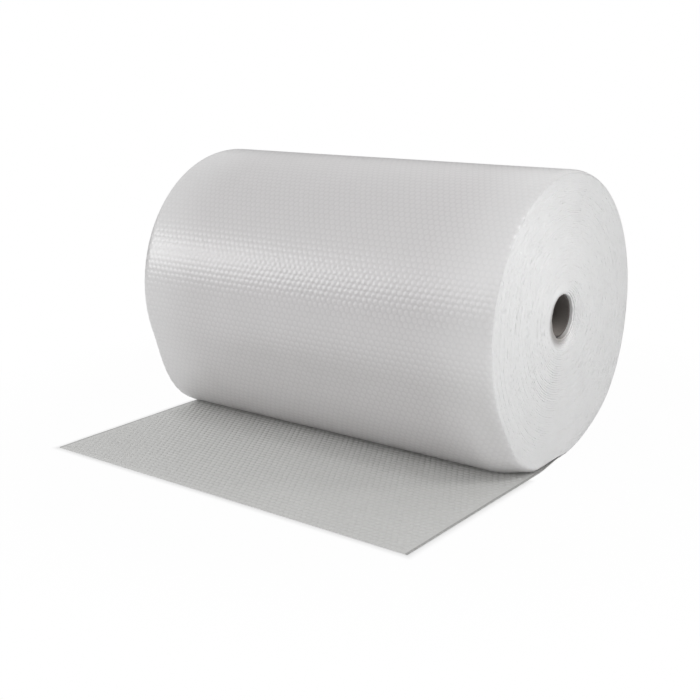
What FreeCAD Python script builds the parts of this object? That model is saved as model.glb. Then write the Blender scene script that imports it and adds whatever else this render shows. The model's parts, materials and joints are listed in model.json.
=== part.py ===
import FreeCAD, Part
import Sketcher
import math
import os
from FreeCAD import Vector

# A roll of bubble web lying on its side, with its outer turn drawn out flat in front of it.
# X runs along the core, Z is up, and the front of the roll faces -Y.
# The origin is on the floor, under the core's axis and halfway along the web.

doc = FreeCAD.newDocument("bubble_roll")

# Driving sizes in millimetres, each with what it measures
sizes = {
    "web_width": (750, "width of the web, which is the length of the roll"),
    "web_thickness": (3.6, "thickness of the web over its bubbles"),
    "wound_radius": (243.4, "radius of the wound turns under the outer turn"),
    "settle_depth": (1.0, "how far the soft roll has settled on the floor"),
    "lead_reach": (462, "from under the core to the front edge of the drawn-out web"),
    "bubble_pitch": (11.03, "from bubble to bubble along a row, which runs across the web"),
    "bubble_rise": (2.4, "height of the bubbles above the film they stand on"),
    "back_relief": (0.6, "how far the bubbles show through the film's flat side"),
    "edge_drop": (0.3, "how far the rims lie below the rows that show through"),
    "front_margin": (5, "plain strip behind the cut front edge"),
    "skin_depth": (3, "how deep the relief's band reaches into the wound turns"),
    "rim_radius": (8, "rounding of the roll's soft outer rims"),
    "lip_radius": (11.5, "rounding of the web's inner turns at the core"),
    "grooved_turns": (9, "turns of web between two grooves of the end faces"),
    "groove_width": (6, "width of the spiral groove between turns"),
    "groove_depth": (1.8, "depth of the spiral groove between turns"),
    "core_bore": (66, "inner diameter of the core tube"),
    "core_wall": (3, "wall of the core tube"),
    "core_recess": (12, "how far the core's ends lie inside the web's edges"),
    "core_rise": (6, "how far the core lies above the middle of the wound turns"),
    "core_chamfer": (0.8, "broken edges of the core's ends"),
    "core_gap": (0.1, "clearance between the core and the first turn"),
}

sheet = doc.addObject("Spreadsheet::Sheet", "sizes")
for row, (alias, (value, note)) in enumerate(sizes.items(), 1):
    sheet.set("A%d" % row, alias.replace("_", " "))
    sheet.set("B%d" % row, str(value))
    sheet.set("C%d" % row, note)
    sheet.setAlias("B%d" % row, alias)

# What follows from the driving sizes
derived = {
    "axis_height": "web_thickness + wound_radius - settle_depth",
    "core_height": "axis_height + core_rise",
    "core_outer": "core_bore + 2 * core_wall",
    "core_length": "web_width - 2 * core_recess",
}
first_row = len(sizes) + 2
for row, (alias, formula) in enumerate(derived.items(), first_row):
    sheet.set("A%d" % row, alias.replace("_", " "))
    sheet.set("B%d" % row, "=" + formula)
    sheet.setAlias("B%d" % row, alias)
doc.recompute()

half_width = sheet.web_width / 2
thickness = sheet.web_thickness
axis_z = sheet.axis_height
core_z = sheet.core_height
row_spacing = sheet.bubble_pitch * math.sqrt(3) / 2
quarter_turn = thickness / 4
x_axis = Vector(1, 0, 0)

# The turns grow by one thickness a turn. Each turn is two half circles, the front one centred
# a quarter thickness above the roll's middle and the back one as far below it.
front_centre = axis_z + quarter_turn
back_centre = axis_z - quarter_turn
plain_radius = sheet.wound_radius - sheet.back_relief - sheet.edge_drop
front_radius = plain_radius + quarter_turn
back_radius = plain_radius + 3 * quarter_turn
front = -1
back = 1


def section_point(centre, radius, angle, side):
    """A point of a half circle's section, its angle counted from the top."""
    return Vector(0, side * radius * math.sin(angle), centre + radius * math.cos(angle))


def closed_face(edges):
    return Part.Face(Part.Wire(edges))


def polygon_edges(points):
    return [Part.LineSegment(a, b).toShape() for a, b in zip(points, points[1:])]


def arc_edge(start, middle, end):
    return Part.Arc(start, middle, end).toShape()


def soft_corner(end, height, away, size):
    """Three points of a rounded corner at one end of the web, made with two bevels."""
    corner = Vector(end * half_width, 0, height)
    inward = Vector(-end * size, 0, 0)
    away = Vector(0, 0, away * size)
    on_arc = 1 - math.sqrt(0.5)
    return [corner + away, corner + inward * on_arc + away * on_arc, corner + inward]


def revolve(face, centre, side, angle):
    """Turns a face that stands over the axis towards one side of the roll."""
    return face.revolve(Vector(0, 0, centre), x_axis * -side, angle)


def wound_half(centre, radius, side):
    """Half of the wound turns, with its two soft rims."""
    left_foot = Vector(-half_width, 0, centre)
    right_foot = Vector(half_width, 0, centre)
    left_rim = soft_corner(-1, centre + radius, -1, sheet.rim_radius)
    right_rim = soft_corner(1, centre + radius, -1, sheet.rim_radius)
    points = [left_foot] + left_rim + right_rim[::-1] + [right_foot, left_foot]
    return revolve(closed_face(polygon_edges(points)), centre, side, 180)


def bubble_rows_half(centre, radius, side):
    """The rows of bubbles that show through the outer turn, as low ridges along the roll."""
    rows = round(math.pi * radius / row_spacing)
    step = math.pi / rows
    valley = radius + sheet.edge_drop
    crest = valley + sheet.back_relief
    points = []
    for row in range(rows):
        points.append(section_point(centre, valley, row * step, side))
        points.append(section_point(centre, crest, (row + 0.5) * step, side))
    points.append(section_point(centre, valley, math.pi, side))
    inner = radius - sheet.skin_depth
    inner_top = section_point(centre, inner, 0, side)
    inner_mid = section_point(centre, inner, math.pi / 2, side)
    inner_low = section_point(centre, inner, math.pi, side)
    edges = polygon_edges(points + [inner_low])
    edges.append(arc_edge(inner_low, inner_mid, inner_top))
    edges += polygon_edges([inner_top, points[0]])
    length = sheet.web_width - 2 * sheet.rim_radius
    band = closed_face(edges)
    band.translate(x_axis * (-length / 2))
    return band.extrude(x_axis * length)


def lead_out():
    """The drawn-out web: flat film below, rows of bubbles above, pressed flat under the roll."""
    base = thickness - sheet.bubble_rise
    rise_foot = math.sqrt(back_radius ** 2 - back_centre ** 2)
    rise_top = math.sqrt(back_radius ** 2 - (back_centre - thickness) ** 2)
    rise_mid_y = (rise_foot + rise_top) / 2
    rise_mid_z = back_centre - math.sqrt(back_radius ** 2 - rise_mid_y ** 2)
    nip = math.sqrt(front_radius ** 2 - (front_centre - thickness) ** 2)
    rows_start = -sheet.lead_reach + sheet.front_margin
    rows = int((-nip - row_spacing / 2 - rows_start) / row_spacing)
    rows_end = rows_start + rows * row_spacing
    edges = polygon_edges([
        Vector(0, rise_top, thickness),
        Vector(0, rows_end, thickness),
        Vector(0, rows_end, base),
    ])
    for row in range(rows, 0, -1):
        row_back = rows_start + row * row_spacing
        row_front = row_back - row_spacing
        crest = Vector(0, (row_back + row_front) / 2, thickness)
        edges.append(arc_edge(Vector(0, row_back, base), crest, Vector(0, row_front, base)))
    edges += polygon_edges([
        Vector(0, rows_start, base),
        Vector(0, -sheet.lead_reach, base),
        Vector(0, -sheet.lead_reach, 0),
        Vector(0, rise_foot, 0),
    ])
    rise_middle = Vector(0, rise_mid_y, rise_mid_z)
    edges.append(arc_edge(Vector(0, rise_foot, 0), rise_middle, Vector(0, rise_top, thickness)))
    face = closed_face(edges)
    face.translate(x_axis * -half_width)
    return face.extrude(x_axis * sheet.web_width)


def core_opening():
    """The bore that the core fills, with the soft lips of the first turns at both ends."""
    bore = core_z + sheet.core_outer / 2 + sheet.core_gap
    beyond = half_width + sheet.lip_radius
    left_lip = soft_corner(-1, bore, 1, sheet.lip_radius)
    right_lip = soft_corner(1, bore, 1, sheet.lip_radius)
    left_out = Vector(-beyond, 0, left_lip[0].z)
    right_out = Vector(beyond, 0, right_lip[0].z)
    left_foot = Vector(-beyond, 0, core_z)
    right_foot = Vector(beyond, 0, core_z)
    points = [left_foot, left_out] + left_lip + right_lip[::-1] + [right_out, right_foot, left_foot]
    return revolve(closed_face(polygon_edges(points)), core_z, back, 360)


def spiral_grooves():
    """Half turns of the groove that winds through both end faces, from the core to the rim."""
    growth = sheet.grooved_turns * thickness
    half_groove = sheet.groove_width / 2
    lip_reach = sheet.core_rise + sheet.core_outer / 2 + sheet.lip_radius
    inner_limit = lip_reach + half_groove + growth / 4
    outer_limit = front_radius - sheet.rim_radius - half_groove - growth / 4
    overshoot = sheet.groove_depth / 2
    mouth = half_groove * (1 + overshoot / sheet.groove_depth)
    cutters = []
    for half_turn in range(int(2 * (outer_limit - inner_limit) / growth) + 1):
        side = back if half_turn % 2 else front
        centre = axis_z - side * growth / 4
        level = centre + inner_limit + half_turn * growth / 2
        for end in (-1, 1):
            outside = end * (half_width + overshoot)
            tip = Vector(end * (half_width - sheet.groove_depth), 0, level)
            low = Vector(outside, 0, level - mouth)
            high = Vector(outside, 0, level + mouth)
            face = closed_face(polygon_edges([low, tip, high, low]))
            cutters.append(revolve(face, centre, side, 180))
    return cutters


def floor_block():
    """What the floor takes away where the soft roll has settled."""
    depth = 2 * sheet.settle_depth
    reach = sheet.lead_reach + sheet.wound_radius
    return Part.makeBox(2 * sheet.web_width, 2 * reach, depth, Vector(-sheet.web_width, -reach, -depth))


def bubble_web():
    """The whole web: every turn of the roll and the drawn-out length are one piece."""
    solid = wound_half(front_centre, front_radius, front)
    solid = solid.fuse([
        wound_half(back_centre, back_radius, back),
        bubble_rows_half(front_centre, front_radius, front),
        bubble_rows_half(back_centre, back_radius, back),
        lead_out(),
    ])
    solid = solid.cut([floor_block(), core_opening()])
    solid = solid.cut(spiral_grooves())
    solid = solid.removeSplitter()
    return solid.Solids[0] if len(solid.Solids) == 1 else solid


def core_tube():
    """The board tube that the web is wound on."""
    body = doc.addObject("PartDesign::Body", "core_tube_body")
    body.Label = "core_tube"
    plane = next(f for f in body.Origin.OriginFeatures if f.Role == "YZ_Plane")
    sketch = body.newObject("Sketcher::SketchObject", "core_section")
    sketch.AttachmentSupport = [(plane, "")]
    sketch.MapMode = "FlatFace"
    centre = Vector(0, core_z, 0)
    for alias in ("core_outer", "core_bore"):
        diameter = getattr(sheet, alias)
        circle = sketch.addGeometry(Part.Circle(centre, Vector(0, 0, 1), diameter / 2))
        size = sketch.addConstraint(Sketcher.Constraint("Diameter", circle, diameter))
        sketch.setExpression("Constraints[%d]" % size, "sizes." + alias)
        sketch.addConstraint(Sketcher.Constraint("PointOnObject", circle, 3, -2))
        height = sketch.addConstraint(Sketcher.Constraint("DistanceY", -1, 1, circle, 3, core_z))
        sketch.setExpression("Constraints[%d]" % height, "sizes.core_height")
    pad = body.newObject("PartDesign::Pad", "core_length")
    pad.Profile = sketch
    pad.Midplane = True
    pad.setExpression("Length", "sizes.core_length")
    doc.recompute()
    rims = ["Edge%d" % (n + 1) for n, edge in enumerate(pad.Shape.Edges) if edge.Closed]
    chamfer = body.newObject("PartDesign::Chamfer", "core_ends")
    chamfer.Base = (pad, rims)
    chamfer.setExpression("Size", "sizes.core_chamfer")
    body.Tip = chamfer
    return body


web = doc.addObject("Part::Feature", "bubble_web_feature")
web.Label = "bubble_web"
web.Shape = bubble_web()
tube = core_tube()
doc.recompute()

for thing in doc.Objects:
    if "Invalid" in thing.State or "Error" in thing.State:
        raise RuntimeError("%s failed to build" % thing.Label)

os.makedirs("parts", exist_ok=True)
for piece in (web, tube):
    shape = piece.Shape
    if shape.isNull() or not shape.isValid() or len(shape.Solids) != 1:
        raise RuntimeError("%s is not one sound solid" % piece.Label)
    shape.exportStep("parts/%s.step" % piece.Label)
    print(piece.Label, "volume %.0f mm3" % shape.Volume, shape.BoundBox)
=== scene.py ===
import json
import math
import bpy
import numpy as np
from mathutils import Matrix, Vector


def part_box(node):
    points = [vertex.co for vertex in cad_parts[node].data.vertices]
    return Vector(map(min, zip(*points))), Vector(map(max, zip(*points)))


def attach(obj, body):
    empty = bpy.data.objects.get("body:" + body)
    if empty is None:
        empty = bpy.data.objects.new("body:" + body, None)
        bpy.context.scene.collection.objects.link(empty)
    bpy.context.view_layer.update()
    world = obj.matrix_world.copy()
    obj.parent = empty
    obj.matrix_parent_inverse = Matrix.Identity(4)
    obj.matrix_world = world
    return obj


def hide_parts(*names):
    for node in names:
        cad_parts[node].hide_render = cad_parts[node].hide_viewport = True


# A large roll of small-bubble web on a board core, lying down with its last turn drawn out.
# Everything is in metres: X along the core, Z up, and the drawn-out web towards -Y.

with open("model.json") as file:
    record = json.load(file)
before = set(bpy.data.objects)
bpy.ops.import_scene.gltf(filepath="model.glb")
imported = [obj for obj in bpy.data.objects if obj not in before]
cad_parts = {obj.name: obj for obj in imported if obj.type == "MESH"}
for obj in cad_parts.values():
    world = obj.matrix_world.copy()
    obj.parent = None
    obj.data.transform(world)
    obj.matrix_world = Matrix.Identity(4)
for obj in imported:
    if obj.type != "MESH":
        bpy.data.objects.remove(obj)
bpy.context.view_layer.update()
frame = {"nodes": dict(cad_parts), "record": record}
bpy.ops.object.select_all(action="DESELECT")
mm = 0.001

webLow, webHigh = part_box("bubble_web")
coreLow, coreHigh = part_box("core_tube")
coreMount = next(m for m in frame["record"]["mounts"] if m["name"] == "core_bore")

web = {
    "thickness": 3.6 * mm,  # over the bubbles
    "pitch": 11.03 * mm,  # from bubble to bubble along a row, across the web
    "bubble": 10.0 * mm,  # across one bubble
    "settled": 1.0 * mm,  # how far the soft roll has sunk onto the floor
    "slack": 4.5 * mm,  # how far the last turn hangs away from the roll, low at the back
    "hangs": (0.76, 0.86, 0.87, 0.93),  # parts of a turn from where that starts to where it ends
    "sag": 30 * mm,  # how far the loose last turns have sagged, low at the front
    "sags": (0.195, 0.09),  # parts of a turn where that starts and is full
    "sagTurns": 60 * mm,  # how deep into the roll that reaches
    "sagRim": 60 * mm,  # how far in from the right rim it is less
    "droop": 4.5 * mm,  # how far the last turns bend in at the rims
    "droopWidth": 14 * mm,  # how far in from the rims that starts
    "droopTurns": 22 * mm,  # how deep into the roll that reaches
    "centred": 0.7,  # part of the roll's radius past which the turns lie round its own middle
}
rowStep = web["pitch"] * math.sqrt(3) / 2
halfWidth = webHigh.x
woundRadius = webHigh.y - 0.75 * web["thickness"]
axisHeight = woundRadius + web["thickness"] - web["settled"]
coreHeight = coreMount["pos_m"][2]
coreRadius = (coreHigh.z - coreLow.z) / 2
fullTurn = 2 * math.pi


def readPoints(piece):
    points = np.empty(len(piece.data.vertices) * 3)
    piece.data.vertices.foreach_get("co", points)
    return points.reshape(-1, 3)


def writePoints(piece, points):
    piece.data.vertices.foreach_set("co", np.ascontiguousarray(points, float).ravel())
    piece.data.update()


def keepFlatPlace(piece, flat):
    # where each point lies on the flat web, so that the bubble pattern follows it onto the roll
    place = piece.data.attributes.new("flatPlace", "FLOAT_VECTOR", "POINT")
    place.data.foreach_set("vector", np.ascontiguousarray(flat, float).ravel())


def smoothStep(low, high, value):
    part = np.clip((value - low) / (high - low), 0, 1)
    return part * part * (3 - 2 * part)


def radiusAt(distance):
    # outside of the web at a length along it, counted from the lowest line of the wound turns
    return np.sqrt(woundRadius ** 2 + web["thickness"] * distance / math.pi)


def turnAt(distance):
    return (radiusAt(distance) - woundRadius) * fullTurn / web["thickness"]


def distanceAt(turn):
    return woundRadius * turn + web["thickness"] * turn ** 2 / (2 * fullTurn)


def windUp(across, distance, lift):
    # from the flat web onto the roll: up the front, over the top, down the back, and under
    turn = turnAt(distance)
    radius = radiusAt(distance)
    # part of a turn: 0 at the lowest line, 0.25 at the front, 0.5 on top and 0.75 at the back
    part = turn / fullTurn - np.floor(turn / fullTurn)
    turnsInside = np.maximum(0, -np.floor(turn / fullTurn))
    hanging = smoothStep(*web["hangs"][:2], part) * (1 - smoothStep(*web["hangs"][2:], part))
    slack = web["slack"] * hanging * np.exp(-turnsInside / 2)
    # the bottom of the rims bends in further, where the film leaves the floor
    low = smoothStep(0.86, 0.97, part) + 1 - smoothStep(0.03, 0.14, part)
    edge = np.clip((np.abs(across) - halfWidth) / web["droopWidth"] + 1, 0, 1)
    depth = np.exp((radius - woundRadius - web["thickness"]) / web["droopTurns"])
    droop = web["droop"] * (1 + 0.7 * low) * edge ** 2 * np.minimum(depth, 1)
    # the loose turns sag forwards onto the floor, less at the right rim
    loose = smoothStep(*web["sags"], part)
    atRight = smoothStep(halfWidth - web["sagRim"], halfWidth, across)
    inside = np.exp((radius + lift - woundRadius - web["thickness"]) / web["sagTurns"])
    sag = web["sag"] * loose * (1 - 0.5 * atRight) * (1 - atRight * (1 - loose)) ** 2 * inside
    droop = np.where(across < 0, droop * (1 - loose * smoothStep(0, 0.05, part)), droop)
    # the inner turns lie round the core, which sits above the middle of the roll
    offCentre = 1 - smoothStep(coreRadius, web["centred"] * woundRadius, radius)
    rise = (coreHeight - axisHeight) * offCentre
    # nothing sags below its own turn's lowest line, or into the floor
    pressed = axisHeight + rise - (radius + lift - droop)
    radius = radius + lift + slack + sag - droop
    height = np.maximum(axisHeight + rise - radius * np.cos(turn), pressed)
    return np.stack([across, -radius * np.sin(turn), np.maximum(height, 0)], 1)


def edgeSetback(distance, side):
    # how far the web's edge lies inside the full width: soft at the core, uneven from turn to turn
    radius = radiusAt(distance)
    turn = turnAt(distance)
    lip = ends["lipDepth"] * np.exp((coreRadius - radius) / ends["lipWidth"])
    # the last turn comes back to the full width where it leaves the roll
    leaving = 1 - smoothStep(0.8 * fullTurn, 0.97 * fullTurn, turn)
    wide, narrow, turning = (radius / wave for wave in ends["waves"])
    wander = 1 + 0.35 * np.sin(wide + side)
    wander += 0.35 * np.sin(narrow + 2 * np.sin(turn) + side)
    wander += 0.3 * np.sin(3 * turn + turning) * np.sin(7.3 * turn)
    return lip + ends["uneven"] * wander * (0.25 + 0.75 * leaving)


def enterEdit(piece):
    bpy.ops.object.select_all(action="DESELECT")
    piece.select_set(True)
    bpy.context.view_layer.objects.active = piece
    bpy.ops.object.mode_set(mode="EDIT")


def leaveEdit():
    bpy.ops.object.mode_set(mode="OBJECT")
    bpy.ops.object.select_all(action="DESELECT")


def selectEdges(piece, wanted):
    # marks edges by a test on their two ends, ready for edit mode
    mesh = piece.data
    pairs = np.empty(len(mesh.edges) * 2, int)
    mesh.edges.foreach_get("vertices", pairs)
    chosen = wanted[pairs.reshape(-1, 2)].all(axis=1)
    touched = np.zeros(len(mesh.vertices), bool)
    touched[pairs.reshape(-1, 2)[chosen].ravel()] = True
    mesh.polygons.foreach_set("select", np.zeros(len(mesh.polygons), bool))
    mesh.vertices.foreach_set("select", touched)
    mesh.edges.foreach_set("select", chosen)
    bpy.context.tool_settings.mesh_select_mode = (False, True, False)


def applyAll(piece):
    bpy.context.view_layer.objects.active = piece
    for modifier in list(piece.modifiers):
        bpy.ops.object.modifier_apply(modifier=modifier.name)


def repeat(piece, count, step):
    array = piece.modifiers.new("repeat", "ARRAY")
    array.use_relative_offset = False
    array.use_constant_offset = True
    array.constant_offset_displace = step
    array.count = count
    applyAll(piece)


def finishPiece(piece, name, material, smoothAngle):
    piece.name = name
    piece.data.name = name
    piece.data.materials.clear()
    piece.data.materials.append(material)
    bpy.ops.object.select_all(action="DESELECT")
    piece.select_set(True)
    bpy.context.view_layer.objects.active = piece
    bpy.ops.object.shade_smooth_by_angle(angle=math.radians(smoothAngle))
    bpy.ops.object.select_all(action="DESELECT")
    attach(piece, "root")
    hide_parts("bubble_web")
    return piece


# Materials

def linear(hexColour):
    parts = [int(hexColour[i:i + 2], 16) / 255 for i in (1, 3, 5)]
    return [c / 12.92 if c <= 0.04045 else ((c + 0.055) / 1.055) ** 2.4 for c in parts] + [1.0]


def addNode(material, kind, settings=None, **links):
    node = material.node_tree.nodes.new(kind)
    for name, value in (settings or {}).items():
        if name in node.inputs:
            node.inputs[name].default_value = value
        elif name[:2] == "in" and name[2:].isdigit():
            node.inputs[int(name[2:])].default_value = value
        else:
            setattr(node, name, value)
    for name, source in links.items():
        target = node.inputs[int(name[2:])] if name[2:].isdigit() else node.inputs[name.replace("_", " ")]
        material.node_tree.links.new(source, target)
    return node


def newMaterial(name):
    material = bpy.data.materials.new(name)
    material.use_nodes = True
    material.node_tree.nodes.clear()
    return material


def closeMaterial(material, shader):
    output = addNode(material, "ShaderNodeOutputMaterial")
    material.node_tree.links.new(shader, output.inputs["Surface"])
    return material


def bubbleDistance(material):
    # distance from the middle of the nearest bubble, in metres, on the flat web
    place = addNode(material, "ShaderNodeAttribute", {"attribute_name": "flatPlace"}).outputs["Vector"]
    cell = (web["pitch"], 2 * rowStep, 1)
    perCell = addNode(
        material, "ShaderNodeVectorMath", {"operation": "MULTIPLY", "in1": [1 / c for c in cell]}, to0=place
    ).outputs[0]
    nearest = []
    for offset in ((0.5, 0.5, 0), (0, 0, 0)):
        moved = addNode(material, "ShaderNodeVectorMath", {"operation": "ADD", "in1": offset}, to0=perCell)
        inCell = addNode(material, "ShaderNodeVectorMath", {"operation": "FRACTION"}, to0=moved.outputs[0])
        centred = addNode(
            material, "ShaderNodeVectorMath", {"operation": "SUBTRACT", "in1": (0.5, 0.5, 0)},
            to0=inCell.outputs[0],
        )
        scaled = addNode(
            material, "ShaderNodeVectorMath", {"operation": "MULTIPLY", "in1": (cell[0], cell[1], 0)},
            to0=centred.outputs[0],
        )
        length = addNode(material, "ShaderNodeVectorMath", {"operation": "LENGTH"}, to0=scaled.outputs[0])
        nearest.append(length.outputs["Value"])
    return addNode(
        material, "ShaderNodeMath", {"operation": "MINIMUM"}, to0=nearest[0], to1=nearest[1]
    ).outputs[0]


filmPatternAndPaintedLight = {
    "weldFrom": 0.38 * web["bubble"],  # from a bubble's middle to where the weld round it starts
    "weldFull": 0.52 * web["bubble"],
    "domeReach": 0.55 * web["bubble"],
    "slitFrom": 5 * mm,  # from the slit edge to where the painted shade along it starts, on flat, clear film
    "slitFull": 3 * mm,
    "edgeShadeColour": "#8f8f8d",
    "coreShadePlace": (0, -11 * mm, coreHeight - 5 * mm),  # the painted shade round the core lies more in front and below
    "coreShadeFull": coreRadius - 2 * mm,
    "coreShadeEnd": coreRadius + 14 * mm,
    "coreShadeShare": 0.9,
    "paintedLightFrom": 0.6 * halfWidth,  # past which the film's colour is painted lighter, as painted light from the ends
}


def filmMaterial(name, look):
    # Low-density polyethylene, blown film: milky over many layers, clear over one, with a soft
    # gloss that breaks up on every bubble and crinkle
    material = newMaterial(name)
    place = addNode(material, "ShaderNodeTexCoord").outputs["Object"]
    crinkle = addNode(
        material, "ShaderNodeTexNoise",
        {"Scale": 1 / look["crinkleSize"], "Detail": 3.0, "Roughness": 0.6}, Vector=place,
    ).outputs["Fac"]
    clouds = addNode(
        material, "ShaderNodeTexNoise", {"Scale": 1 / look["cloudSize"], "Detail": 2.0}, Vector=place
    ).outputs["Fac"]
    shade = addNode(
        material, "ShaderNodeMix",
        {"data_type": "RGBA", "in6": linear(look["pale"]), "in7": linear(look["deep"])}, to0=clouds,
    ).outputs[2]
    height = crinkle
    sideways = addNode(material, "ShaderNodeSeparateXYZ", to0=place).outputs["X"]
    fromMiddle = addNode(material, "ShaderNodeMath", {"operation": "ABSOLUTE"}, to0=sideways).outputs[0]
    if "paintedEdgeShade" in look:
        # painted shade: along each slit edge the film's colour is greyed, for the shade seen through the
        # flat, clear film there
        slit = addNode(
            material, "ShaderNodeMapRange",
            {"in1": halfWidth - filmPatternAndPaintedLight["slitFrom"], "in2": halfWidth - filmPatternAndPaintedLight["slitFull"],
             "in4": look["paintedEdgeShade"]},
            to0=fromMiddle,
        ).outputs[0]
        shade = addNode(
            material, "ShaderNodeMix",
            {"data_type": "RGBA", "in7": linear(filmPatternAndPaintedLight["edgeShadeColour"])}, to0=slit, to6=shade,
        ).outputs[2]
    if "paintedCoreShade" in look:
        # painted shade: round the core the film's colour is darkened, more in front of the core and below it,
        # partly for the dark board seen through the film
        fromCore = addNode(
            material, "ShaderNodeVectorMath",
            {"operation": "SUBTRACT", "in1": filmPatternAndPaintedLight["coreShadePlace"]}, to0=place,
        ).outputs[0]
        onFace = addNode(
            material, "ShaderNodeVectorMath", {"operation": "MULTIPLY", "in1": (0, 1, 1)}, to0=fromCore
        ).outputs[0]
        reach = addNode(
            material, "ShaderNodeVectorMath", {"operation": "LENGTH"}, to0=onFace
        ).outputs["Value"]
        shadeRoundCore = addNode(
            material, "ShaderNodeMapRange",
            {"interpolation_type": "SMOOTHSTEP", "in1": filmPatternAndPaintedLight["coreShadeFull"],
             "in2": filmPatternAndPaintedLight["coreShadeEnd"], "in3": filmPatternAndPaintedLight["coreShadeShare"], "in4": 0.0},
            to0=reach,
        ).outputs[0]
        shade = addNode(
            material, "ShaderNodeMix",
            {"data_type": "RGBA", "in7": linear(look["paintedCoreShade"])}, to0=shadeRoundCore, to6=shade,
        ).outputs[2]
    if "weld" in look:
        distance = bubbleDistance(material)
        rim = addNode(
            material, "ShaderNodeMapRange",
            {"interpolation_type": "SMOOTHSTEP", "in1": filmPatternAndPaintedLight["weldFrom"],
             "in2": filmPatternAndPaintedLight["weldFull"]},
            to0=distance,
        ).outputs[0]
        weldMix = addNode(
            material, "ShaderNodeMath", {"operation": "MULTIPLY", "in1": look["weld"]}, to0=rim
        ).outputs[0]
        shade = addNode(
            material, "ShaderNodeMix",
            {"data_type": "RGBA", "in7": linear(look["weldColour"])}, to0=weldMix, to6=shade,
        ).outputs[2]
    if "domeShare" in look:
        # each bubble shows through the film as a low dome
        dome = addNode(
            material, "ShaderNodeMapRange",
            {"interpolation_type": "SMOOTHSTEP", "in1": 0.0, "in2": filmPatternAndPaintedLight["domeReach"],
             "in3": 1.0, "in4": 0.0},
            to0=distance,
        ).outputs[0]
        domeHeight = addNode(
            material, "ShaderNodeMath", {"operation": "MULTIPLY", "in1": look["domeShare"]}, to0=dome
        ).outputs[0]
        height = addNode(
            material, "ShaderNodeMath", {"operation": "ADD"}, to0=crinkle, to1=domeHeight
        ).outputs[0]
    if "paintedEndLight" in look:
        # painted light: near both ends the film's colour is mixed towards white, for light that entered at
        # the ends and comes out again near them
        paintedLightShare = addNode(
            material, "ShaderNodeMapRange",
            {"interpolation_type": "SMOOTHSTEP", "in1": filmPatternAndPaintedLight["paintedLightFrom"], "in2": halfWidth,
             "in4": look["paintedEndLight"]},
            to0=fromMiddle,
        ).outputs[0]
        shade = addNode(
            material, "ShaderNodeMix",
            {"data_type": "RGBA", "in7": linear("#ffffff")}, to0=paintedLightShare, to6=shade,
        ).outputs[2]
    bump = addNode(
        material, "ShaderNodeBump", {"Strength": 1.0, "Distance": look["crinkleHeight"]}, Height=height
    ).outputs["Normal"]
    shader = addNode(
        material, "ShaderNodeBsdfPrincipled",
        {"Roughness": look["roughness"], "IOR": 1.51, "Coat Weight": look["coat"], "Coat Roughness": 0.12},
        Base_Color=shade, Normal=bump,
    ).outputs[0]
    # many clear films on each other shine more than one does
    stack = addNode(
        material, "ShaderNodeBsdfGlossy",
        {"Color": linear("#ffffff"), "Roughness": look["roughness"]}, Normal=bump,
    ).outputs[0]
    mixed = addNode(
        material, "ShaderNodeMixShader", {"in0": look["stackShine"]}, to1=shader, to2=stack
    ).outputs[0]
    if "through" in look:
        # one layer lets some light through
        passing = addNode(material, "ShaderNodeBsdfTranslucent", Color=shade, Normal=bump).outputs[0]
        mixed = addNode(
            material, "ShaderNodeMixShader", {"in0": look["through"]}, to1=mixed, to2=passing
        ).outputs[0]
    return closeMaterial(material, mixed)


# the last turn, over all the turns below it
woundFilm = filmMaterial("polyethyleneFilmWound", {
    "pale": "#e3e0e1", "deep": "#dddbdb", "cloudSize": 90 * mm,
    "weld": 0.5, "weldColour": "#cfcccd", "domeShare": 0.5,
    "crinkleSize": 2.6 * mm, "crinkleHeight": 0.3 * mm,
    # painted light: the film is up to half way to white near the ends
    "paintedEndLight": 0.5,
    "roughness": 0.3, "coat": 0.25, "stackShine": 0.22,
})
# the drawn-out web, one layer on the floor
leadFilm = filmMaterial("polyethyleneFilmSingle", {
    "pale": "#efefed", "deep": "#e9e9e7", "cloudSize": 120 * mm,
    "weld": 0.3, "weldColour": "#e4e4e2",
    "crinkleSize": 3.0 * mm, "crinkleHeight": 0.2 * mm,
    # painted shade along the slit edges
    "paintedEdgeShade": 0.6, "through": 0.1,
    "roughness": 0.36, "coat": 0.2, "stackShine": 0.06,
})
# the turns seen end on, whitest because light enters every edge
edgeFilm = filmMaterial("polyethyleneFilmEdges", {
    "pale": "#fafafa", "deep": "#f3f3f3", "cloudSize": 60 * mm,
    "crinkleSize": 3.4 * mm, "crinkleHeight": 0.9 * mm,
    # painted shade round the core's hole
    "paintedCoreShade": "#857e7b",
    "roughness": 0.4, "coat": 0.2, "stackShine": 0.12,
})


board = {
    "skin": ("#5a5653", "#736e6a"),
    "seam": "#4a4643",
    # painted shade on the cut ends of the core
    "cutEndShade": "#4c4845",
    "plyWidth": 95 * mm,  # from seam to seam along the tube
    "seamShare": 0.02,  # part of that which is seam
    "cutDepth": 0.3 * mm,  # how far in the painted shade on the cut ends reaches
    "fibre": 4 * mm,  # coarser than real fibres, so that they show
}


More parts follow.
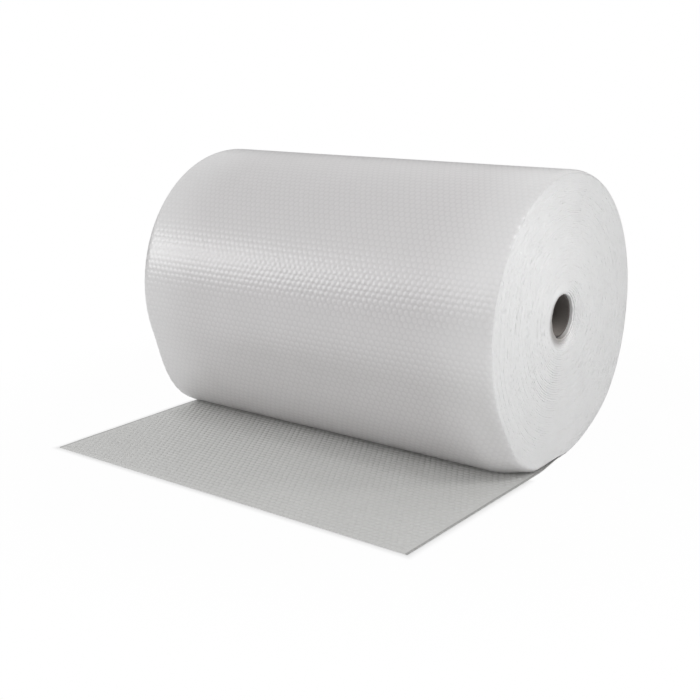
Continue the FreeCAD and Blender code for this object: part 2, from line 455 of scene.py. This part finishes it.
def boardMaterial():
    # Spiral-wound grey chipboard: matt, with short fibres and a seam every ply width
    material = newMaterial("chipboardCore")
    place = addNode(material, "ShaderNodeTexCoord").outputs["Object"]
    parts = addNode(material, "ShaderNodeSeparateXYZ", to0=place)
    height = addNode(
        material, "ShaderNodeMath", {"operation": "SUBTRACT", "in1": coreHeight}, to0=parts.outputs["Z"]
    ).outputs[0]
    angle = addNode(
        material, "ShaderNodeMath", {"operation": "ARCTAN2"}, to0=height, to1=parts.outputs["Y"]
    ).outputs[0]
    turns = addNode(
        material, "ShaderNodeMath", {"operation": "DIVIDE", "in1": fullTurn}, to0=angle
    ).outputs[0]
    along = addNode(
        material, "ShaderNodeMath", {"operation": "DIVIDE", "in1": board["plyWidth"]}, to0=parts.outputs["X"]
    ).outputs[0]
    ply = addNode(material, "ShaderNodeMath", {"operation": "ADD"}, to0=turns, to1=along).outputs[0]
    seamPart = addNode(material, "ShaderNodeMath", {"operation": "FRACT"}, to0=ply).outputs[0]
    seam = addNode(
        material, "ShaderNodeMath", {"operation": "LESS_THAN", "in1": board["seamShare"]}, to0=seamPart
    ).outputs[0]
    stretched = addNode(material, "ShaderNodeMapping", {"Scale": (1.0, 3.0, 3.0)}, Vector=place).outputs[0]
    fibres = addNode(
        material, "ShaderNodeTexNoise",
        {"Scale": 1 / board["fibre"], "Detail": 5.0, "Roughness": 0.7}, Vector=stretched,
    ).outputs["Fac"]
    darkSkin, paleSkin = (linear(colour) for colour in board["skin"])
    skin = addNode(
        material, "ShaderNodeMix", {"data_type": "RGBA", "in6": darkSkin, "in7": paleSkin}, to0=fibres
    ).outputs[2]
    withSeam = addNode(
        material, "ShaderNodeMix", {"data_type": "RGBA", "in7": linear(board["seam"])}, to0=seam, to6=skin
    ).outputs[2]
    # painted shade: the cut ends are darker than the skin, for the recess they sit in
    fromMiddle = addNode(
        material, "ShaderNodeMath", {"operation": "ABSOLUTE"}, to0=parts.outputs["X"]
    ).outputs[0]
    cut = addNode(
        material, "ShaderNodeMath",
        {"operation": "GREATER_THAN", "in1": coreHigh.x - board["cutDepth"]}, to0=fromMiddle,
    ).outputs[0]
    withEndShade = addNode(
        material, "ShaderNodeMix",
        {"data_type": "RGBA", "in7": linear(board["cutEndShade"])}, to0=cut, to6=withSeam,
    ).outputs[2]
    bump = addNode(
        material, "ShaderNodeBump", {"Strength": 0.5, "Distance": 0.2 * mm}, Height=fibres
    ).outputs[0]
    shader = addNode(
        material, "ShaderNodeBsdfPrincipled",
        {"Roughness": 0.85, "IOR": 1.5}, Base_Color=withEndShade, Normal=bump,
    )
    return closeMaterial(material, shader.outputs[0])


# The last turn: flat film outside, lifted into a low pillow over each bubble behind it

film = {
    "rise": 0.36 * mm,  # each pillow over the welds round it
    "land": 1.9 * mm,  # slope from the weld line up to the pillow
    "skirt": 1.5 * mm,  # depth of the film's turned-in edge
    "start": 10 * mm,  # from the lowest line, where the turn hides in the nip
    "trim": 0.4 * mm,  # how unevenly the web was slit
    "sag": 0.4 * mm,  # depth of the slow waves of the slack last turn
    "waves": (61 * mm, 170 * mm, 143 * mm, 93 * mm),  # how fast those change, across and along
}


def makeOuterFilm():
    radius = web["pitch"] / math.sqrt(3)
    bpy.ops.mesh.primitive_circle_add(vertices=6, radius=radius, fill_type="NGON", location=(0, 0, 0))
    piece = bpy.context.object
    enterEdit(piece)
    bpy.ops.mesh.select_all(action="SELECT")
    bpy.ops.mesh.inset(thickness=film["land"], depth=film["rise"])
    leaveEdit()
    columns = int(2 * halfWidth / web["pitch"]) + 3
    rows = 2 * math.ceil(distanceAt(fullTurn) / rowStep / 2) + 2
    repeat(piece, 2, (web["pitch"] / 2, rowStep, 0))
    repeat(piece, columns, (web["pitch"], 0, 0))
    repeat(piece, rows // 2, (0, 2 * rowStep, 0))
    points = readPoints(piece)
    points[:, 0] -= (columns // 2) * web["pitch"]
    writePoints(piece, points)
    enterEdit(piece)
    bpy.ops.mesh.select_all(action="SELECT")
    bpy.ops.mesh.remove_doubles(threshold=0.02 * mm)
    sideLimit = halfWidth - film["trim"]
    cuts = [
        ((-sideLimit, 0, 0), (-1, 0, 0)),
        ((sideLimit, 0, 0), (1, 0, 0)),
        ((0, film["start"], 0), (0, -1, 0)),
        ((0, distanceAt(fullTurn), 0), (0, 1, 0)),
    ]
    for place, outward in cuts:
        bpy.ops.mesh.select_all(action="SELECT")
        bpy.ops.mesh.bisect(plane_co=place, plane_no=outward, clear_outer=True)
    leaveEdit()
    # the two side edges turn in and are joined underneath, then the ends are closed
    points = readPoints(piece)
    selectEdges(piece, np.abs(np.abs(points[:, 0]) - sideLimit) < 0.01 * mm)
    enterEdit(piece)
    bpy.ops.mesh.extrude_region_move(TRANSFORM_OT_translate={"value": (0, 0, -film["skirt"])})
    bpy.ops.mesh.bridge_edge_loops()
    bpy.ops.mesh.select_all(action="SELECT")
    bpy.ops.mesh.fill_holes(sides=0)
    bpy.ops.mesh.select_all(action="SELECT")
    bpy.ops.mesh.normals_make_consistent(inside=False)
    leaveEdit()
    points = readPoints(piece)
    keepFlatPlace(piece, points)
    across, distance, lift = points.T
    across = across * (1 - edgeSetback(distance, np.sign(across)) / halfWidth)
    across1, along1, across2, along2 = film["waves"]
    waves = np.sin(across / across1 + 2 * np.sin(distance / along1))
    waves = waves + np.sin(across / across2 + distance / along2)
    # the tops of the pillows are the roll's full size, and the waves lie inside it
    lift = lift - film["rise"] - film["sag"] * (0.5 + 0.25 * waves)
    writePoints(piece, windUp(across, distance, lift))
    return finishPiece(piece, "outerFilm", woundFilm, 60)


# The edges of every turn, seen end on: the edge of the flat film, and bubbles cut through beside it

ends = {
    "backDepth": 9 * mm,  # how deep the wound edges are modelled
    "lipDepth": 11.0 * mm,  # the first turns lie back round the core
    "lipWidth": 10.0 * mm,
    "uneven": 0.5 * mm,  # how unevenly the turns are stacked
    "underFilm": 1.9 * mm,  # the last turn's own film covers it
    "coreGap": 0.1 * mm,  # between the first turn and the core
    "jitter": 0.22 * mm,  # how crumpled each film edge is
    "lastInset": 0.3 * mm,  # how much further in the last turn's edge lies
    "leastDepth": 0.05 * mm,
    "waves": (7.3 * mm, 1.9 * mm, 11 * mm),  # how fast the unevenness changes from turn to turn
    # in mm: depth behind the edge and lift from the outer film, over a bubble and between two
    "overBubble": [(0.15, 0), (0, -0.5), (0.1, -1.2), (0, -2.3), (0.15, -3.5)],
    "between": [(0.15, 0), (0.1, -0.5), (0.4, -1.0), (0.6, -2.0), (0.3, -3.5)],
}


def makeTurnEdges(side, name):
    thickness = web["thickness"]
    back = [(ends["backDepth"] / mm, -thickness / mm), (ends["backDepth"] / mm, 0)]
    overBubble = np.array(ends["overBubble"] + back + ends["overBubble"][:1]) * mm
    between = np.array(ends["between"] + back + ends["between"][:1]) * mm
    firstRadius = coreRadius + ends["coreGap"] + thickness
    start = (firstRadius ** 2 - woundRadius ** 2) * math.pi / thickness
    stop = distanceAt(fullTurn)
    steps = 2 * int((stop - start) / rowStep)
    sides = len(between) - 1
    bpy.ops.mesh.primitive_grid_add(x_subdivisions=sides, y_subdivisions=steps, size=1)
    piece = bpy.context.object
    grid = readPoints(piece)
    corner = np.rint((grid[:, 0] + 0.5) * sides).astype(int)
    step = np.rint((grid[:, 1] + 0.5) * steps).astype(int)
    isBubble = (step % 2 == 1)[:, None]
    section = np.where(isBubble, overBubble[corner], between[corner])
    # every film edge is a little crumpled, and the two points at the back are not
    random = np.random.default_rng(3 + side)
    crumple = random.normal(0, ends["jitter"], (steps + 1, sides + 1, 2))
    crumple[:, sides] = crumple[:, 0]
    crumple[:, len(ends["between"]):sides] = 0
    section = section + crumple[step, corner] * [1, 0.7]
    distance = start + (stop - start) * step / steps
    lastTurn = smoothStep(0, 0.03 * fullTurn, turnAt(distance))
    depth = section[:, 0] + edgeSetback(distance, side) + ends["lastInset"] * lastTurn
    depth = np.maximum(depth, ends["leastDepth"])
    lift = np.minimum(section[:, 1], 0) - ends["underFilm"] * lastTurn
    points = windUp(side * (halfWidth - depth), distance, lift)
    writePoints(piece, points)
    enterEdit(piece)
    bpy.ops.mesh.select_all(action="SELECT")
    bpy.ops.mesh.remove_doubles(threshold=0.001 * mm)
    bpy.ops.mesh.fill_holes(sides=0)
    bpy.ops.mesh.select_all(action="SELECT")
    bpy.ops.mesh.normals_make_consistent(inside=False)
    leaveEdit()
    return finishPiece(piece, name, edgeFilm, 60)


# The drawn-out web: one layer of film with its bubbles up

lead = {
    "film": 0.9 * mm,  # drawn thicker than real film, so that its edge shows
    "back": 20 * mm,  # how far it runs under the roll
    "edgeLift": 0.8 * mm,  # the cut edges don't lie quite flat
    "edgeZone": 0.03,  # metres in from the cut edges where they do so
    "free": (-0.06, -0.2),  # lines across between which the sheet comes free of the roll
    "waves": (0.045, 0.06, 0.052),  # how fast the lifts change, across and along
    "curl": 7 * mm,  # how far the side edges bend up beside the roll
    "curlFrom": -0.08,
    "frontMargin": 4 * mm,  # plain strip behind the cut front edge
    "sideMargin": 1 * mm,  # the least from a bubble to a side edge
    "nip": 96 * mm,  # how near the roll's lowest line the bubbles stand
    "wall": 0.8 * mm,  # height of a bubble's side
    "shoulder": 0.78,  # width of its side at the top, as a part of its foot
    "crownInset": 1.7 * mm,  # from there in to its flat top
    "crownRise": 0.4 * mm,
    "sunk": 0.1 * mm,  # how deep its foot lies in the film
    "slack": 0.12,  # part of the bubbles' height that differs from one to the next
    "burst": 0.012,  # share of bubbles that are down
    "burstHeight": 0.35,  # what is left of their height
    "lean": 0.02,  # how far they lean, as a slope
}


def sheetLift(x, y):
    # small lifts of the loose sheet, none where the roll lies on it
    free = smoothStep(*lead["free"], y)
    side = smoothStep(halfWidth - lead["edgeZone"], halfWidth, np.abs(x))
    front = smoothStep(webLow.y + lead["edgeZone"], webLow.y, y)
    across, turning, along = lead["waves"]
    waves = 0.5 + 0.5 * np.sin(x / across + 1.7 * np.sin(y / turning)) * np.sin(y / along + 0.8)
    # beside the roll the edge still bends up, as it does on the turn it came from
    curl = smoothStep(halfWidth - web["droopWidth"], halfWidth, np.abs(x))
    curl = curl * smoothStep(lead["curlFrom"], 0.0, y)
    loose = lead["edgeLift"] * free * (0.35 * waves + 0.65 * np.maximum(side, front) * waves)
    return loose + lead["curl"] * curl


def makeLeadFilm():
    length = lead["back"] - webLow.y
    columns = int(2 * halfWidth / web["pitch"])
    rows = int(length / rowStep)
    bpy.ops.mesh.primitive_grid_add(x_subdivisions=columns, y_subdivisions=rows, size=1)
    piece = bpy.context.object
    points = readPoints(piece)
    points[:, 0] *= 2 * halfWidth
    points[:, 1] = webLow.y + (points[:, 1] + 0.5) * length
    points[:, 2] = lead["film"] + sheetLift(points[:, 0], points[:, 1])
    writePoints(piece, points)
    thicken = piece.modifiers.new("film", "SOLIDIFY")
    thicken.thickness = lead["film"]
    thicken.offset = -1
    applyAll(piece)
    points = readPoints(piece)
    points[:, 0] = np.clip(points[:, 0], -halfWidth, halfWidth)
    writePoints(piece, points)
    keepFlatPlace(piece, points)
    return finishPiece(piece, "leadFilm", leadFilm, 40)


def makeLeadBubbles():
    radius = web["bubble"] / 2
    low = lead["film"] - lead["sunk"]
    wall = lead["wall"]
    bpy.ops.mesh.primitive_cylinder_add(
        vertices=10, radius=radius, depth=wall, end_fill_type="NGON", location=(0, 0, low + wall / 2)
    )
    piece = bpy.context.object
    bpy.ops.object.transform_apply(location=True, rotation=True, scale=True)
    points = readPoints(piece)
    upper = points[:, 2] > low + wall / 2
    points[upper, :2] *= lead["shoulder"]
    writePoints(piece, points)
    heights = np.array([polygon.center.z for polygon in piece.data.polygons])
    piece.data.polygons.foreach_set("select", heights > low + 0.9 * wall)
    bpy.context.tool_settings.mesh_select_mode = (False, False, True)
    enterEdit(piece)
    bpy.ops.mesh.inset(thickness=lead["crownInset"], depth=lead["crownRise"])
    leaveEdit()
    cellPoints = len(piece.data.vertices)
    firstRow = webLow.y + lead["frontMargin"] + radius
    rows = int((-lead["nip"] - radius - firstRow) / rowStep) + 1
    columns = int((2 * halfWidth - web["bubble"] - 2 * lead["sideMargin"]) / web["pitch"])
    repeat(piece, columns, (web["pitch"], 0, 0))
    repeat(piece, rows, (0, rowStep, 0))
    points = readPoints(piece)
    bubble = np.arange(len(points)) // cellPoints
    row = bubble // columns
    column = bubble % columns
    spread = (columns - 1) * web["pitch"]
    shift = np.where(row % 2 == 0, -0.25, 0.25) * web["pitch"]
    points[:, 0] += shift - spread / 2
    points[:, 1] += firstRow
    centreX = column * web["pitch"] + shift - spread / 2
    centreY = row * rowStep + firstRow
    random = np.random.default_rng(11)
    full = 1 - lead["slack"] * random.random(rows * columns) ** 2
    down = random.random(rows * columns) < lead["burst"]
    full[down] = lead["burstHeight"]
    leanX = random.normal(0, lead["lean"], rows * columns)[bubble]
    above = points[:, 2] - low
    points[:, 2] = low + above * full[bubble] + leanX * (points[:, 0] - centreX) * (above > wall / 2)
    points[:, 2] += sheetLift(centreX, centreY)
    writePoints(piece, points)
    keepFlatPlace(piece, np.stack([points[:, 0] - centreX, points[:, 1] - centreY, 0 * above], 1))
    return finishPiece(piece, "leadBubbles", leadFilm, 70)


outerFilm = makeOuterFilm()
print("last turn done", len(outerFilm.data.polygons))
rightEdges = makeTurnEdges(1, "turnEdgesRight")
leftEdges = makeTurnEdges(-1, "turnEdgesLeft")
print("turn edges done", len(rightEdges.data.polygons), len(leftEdges.data.polygons))
leadSheet = makeLeadFilm()
leadBubbles = makeLeadBubbles()
print("drawn-out web done", len(leadBubbles.data.polygons))

coreBoard = boardMaterial()
coreTube = frame["nodes"]["core_tube"]
coreTube.data.materials.clear()
coreTube.data.materials.append(coreBoard)


# Floor, light and camera

studio = {
    "floorColour": "#ffffff",
    "floorSize": 60,
    "floorHeight": -0.0002,  # just under the web
    "floorShare": 0.97,  # part of the floor's white that the object's shadow doesn't reach
    "contactShare": 0.35,  # the same right beside the web
    "contactWidth": 14 * mm,
    "contactEnd": -120 * mm,  # that strip ends at this line, under the roll's front
    "floorReach": 0.9,  # metres from the middle, past which the floor is plain white
    "tentLeft": (0.08, 0.84),  # brightness low down and at middle height
    "tentRight": (1.15, 0.04),
    "tentHigh": 0.62,
    "tentMiddle": 0.4,  # middle height, as a part of the way from level to straight up
    "tentTop": 0.95,
    "tentTurn": (0.2, 0.7),  # where the left side's brightness goes over into the right's
}


def makeFloor():
    bpy.ops.mesh.primitive_plane_add(size=studio["floorSize"], location=(0, 0, studio["floorHeight"]))
    floor = bpy.context.object
    floor.name = "floor"
    material = newMaterial("studioFloor")
    path = addNode(material, "ShaderNodeLightPath").outputs
    seen = addNode(
        material, "ShaderNodeMath", {"operation": "ADD", "use_clamp": True},
        to0=path["Is Camera Ray"], to1=path["Is Transmission Ray"],
    ).outputs[0]
    place = addNode(material, "ShaderNodeTexCoord").outputs["Object"]
    parts = addNode(material, "ShaderNodeSeparateXYZ", to0=place)
    across = addNode(material, "ShaderNodeMath", {"operation": "ABSOLUTE"}, to0=parts.outputs["X"]).outputs[0]
    beside = addNode(
        material, "ShaderNodeMath", {"operation": "SUBTRACT", "in1": halfWidth}, to0=across
    ).outputs[0]
    before = addNode(
        material, "ShaderNodeMath", {"operation": "SUBTRACT", "in0": webLow.y}, to1=parts.outputs["Y"]
    ).outputs[0]
    behind = addNode(
        material, "ShaderNodeMath",
        {"operation": "SUBTRACT", "in1": studio["contactEnd"]}, to0=parts.outputs["Y"],
    ).outputs[0]
    ahead = addNode(material, "ShaderNodeMath", {"operation": "MAXIMUM"}, to0=beside, to1=before).outputs[0]
    outside = addNode(material, "ShaderNodeMath", {"operation": "MAXIMUM"}, to0=ahead, to1=behind).outputs[0]
    near = addNode(
        material, "ShaderNodeMapRange",
        {"interpolation_type": "SMOOTHSTEP", "in1": 0.0, "in2": studio["contactWidth"],
         "in3": studio["contactShare"], "in4": studio["floorShare"]},
        to0=outside,
    ).outputs[0]
    fromMiddle = addNode(
        material, "ShaderNodeVectorMath", {"operation": "LENGTH"}, to0=place
    ).outputs["Value"]
    white = addNode(
        material, "ShaderNodeMapRange",
        {"in1": 0.7 * studio["floorReach"], "in2": studio["floorReach"], "in4": 1.0},
        to0=fromMiddle, to3=near,
    ).outputs[0]
    share = addNode(material, "ShaderNodeMath", {"operation": "MULTIPLY"}, to0=seen, to1=white).outputs[0]
    lit = addNode(material, "ShaderNodeBsdfDiffuse", {"Color": linear(studio["floorColour"])})
    glow = addNode(material, "ShaderNodeEmission", {"Strength": 1.0})
    mixed = addNode(
        material, "ShaderNodeMixShader", to0=share, to1=lit.outputs[0], to2=glow.outputs[0]
    )
    closeMaterial(material, mixed.outputs[0])
    floor.data.materials.append(material)
    return floor


def makeWorld():
    # a light tent: white to the eye, and as bright as the settings say on the things in it
    world = bpy.data.worlds.new("studioWorld")
    bpy.context.scene.world = world
    world.use_nodes = True
    world.node_tree.nodes.clear()
    path = addNode(world, "ShaderNodeLightPath").outputs
    seen = addNode(
        world, "ShaderNodeMath", {"operation": "ADD", "use_clamp": True},
        to0=path["Is Camera Ray"], to1=path["Is Transmission Ray"],
    ).outputs[0]
    toSky = addNode(world, "ShaderNodeTexCoord").outputs["Generated"]
    parts = addNode(world, "ShaderNodeSeparateXYZ", to0=toSky)
    height = parts.outputs["Z"]
    lower = []
    for low, middle in (studio["tentLeft"], studio["tentRight"]):
        band = addNode(
            world, "ShaderNodeMapRange",
            {"interpolation_type": "SMOOTHSTEP", "in1": 0.0, "in2": studio["tentMiddle"],
             "in3": low, "in4": middle},
            to0=height,
        )
        lower.append(band.outputs[0])
    around = addNode(
        world, "ShaderNodeMapRange",
        {"interpolation_type": "SMOOTHSTEP", "in1": studio["tentTurn"][0], "in2": studio["tentTurn"][1]},
        to0=parts.outputs["X"], to3=lower[0], to4=lower[1],
    ).outputs[0]
    tent = addNode(
        world, "ShaderNodeMapRange",
        {"interpolation_type": "SMOOTHSTEP", "in1": studio["tentMiddle"], "in2": studio["tentTop"],
         "in4": studio["tentHigh"]},
        to0=height, to3=around,
    ).outputs[0]
    strength = addNode(world, "ShaderNodeMapRange", {"in4": 1.0}, to0=seen, to3=tent).outputs[0]
    back = addNode(world, "ShaderNodeBackground", {"Color": linear("#ffffff")}, to1=strength)
    output = addNode(world, "ShaderNodeOutputWorld")
    world.node_tree.links.new(back.outputs[0], output.inputs["Surface"])


def addLamp(name, place, target, size, power):
    bpy.ops.object.light_add(type="AREA", location=place)
    lamp = bpy.context.object
    lamp.name = name
    lamp.data.shape = "RECTANGLE"
    lamp.data.size, lamp.data.size_y = size
    lamp.data.energy = power
    direction = Vector(target) - Vector(place)
    lamp.rotation_euler = direction.to_track_quat("-Z", "Y").to_euler()


lamps = {
    # place, what it faces, size and power
    "upperRight": ((1.7, -0.5, 2.2), (0.2, -0.05, 0.2), (0.3, 0.3), 6.6),
    "leftFront": ((-2.2, -2.0, 0.95), (-0.2, -0.2, 0.3), (1.0, 1.1), 5.4),
    "rightBack": ((2.2, 0.6, 1.6), (0.37, 0, 0.25), (0.5, 0.5), 5.4),
}


def addSpot(name, place, target, width, soft, power):
    bpy.ops.object.light_add(type="SPOT", location=place)
    lamp = bpy.context.object
    lamp.name = name
    lamp.data.energy = power
    lamp.data.spot_size = math.radians(width)
    lamp.data.spot_blend = 1.0
    lamp.data.shadow_soft_size = soft
    lamp.visible_glossy = False
    direction = Vector(target) - Vector(place)
    lamp.rotation_euler = direction.to_track_quat("-Z", "Y").to_euler()


spots = {
    # place, what it faces, width in degrees, size and power
    "faceSpot": ((2.4, -0.9, 1.2), (0.375, -0.13, 0.34), 13, 0.15, 44.0),
    "boreSpot": ((1.6, -0.35, 1.7), (0.363, 0, 0.238), 1.7, 0.02, 190.0),
}


makeFloor()
makeWorld()
for lampName, settings in lamps.items():
    addLamp(lampName, *settings)
for spotName, settings in spots.items():
    addSpot(spotName, *settings)
print("floor and light done")

view = {
    "place": (1.1957, -1.6613, 0.6869),
    "yaw": 37.42,  # degrees to the left of +Y
    "down": 15.04,
    "roll": -0.58,
    "lens": 58.3,  # on a 36 mm sensor
}


def makeCamera():
    yaw, down, roll = (math.radians(view[k]) for k in ("yaw", "down", "roll"))
    forward = Vector((-math.sin(yaw) * math.cos(down), math.cos(yaw) * math.cos(down), -math.sin(down)))
    level = forward.cross(Vector((0, 0, 1))).normalized()
    upright = level.cross(forward)
    right = math.cos(roll) * level + math.sin(roll) * upright
    up = -math.sin(roll) * level + math.cos(roll) * upright
    data = bpy.data.cameras.new("camera")
    data.sensor_fit = "HORIZONTAL"
    data.sensor_width = 36
    data.lens = view["lens"]
    camera = bpy.data.objects.new("camera", data)
    bpy.context.scene.collection.objects.link(camera)
    turn = Matrix((right, up, -forward)).transposed().to_4x4()
    camera.matrix_world = Matrix.Translation(view["place"]) @ turn
    bpy.context.scene.camera = camera


makeCamera()
bpy.context.scene.view_settings.view_transform = "Standard"

print("scene done")
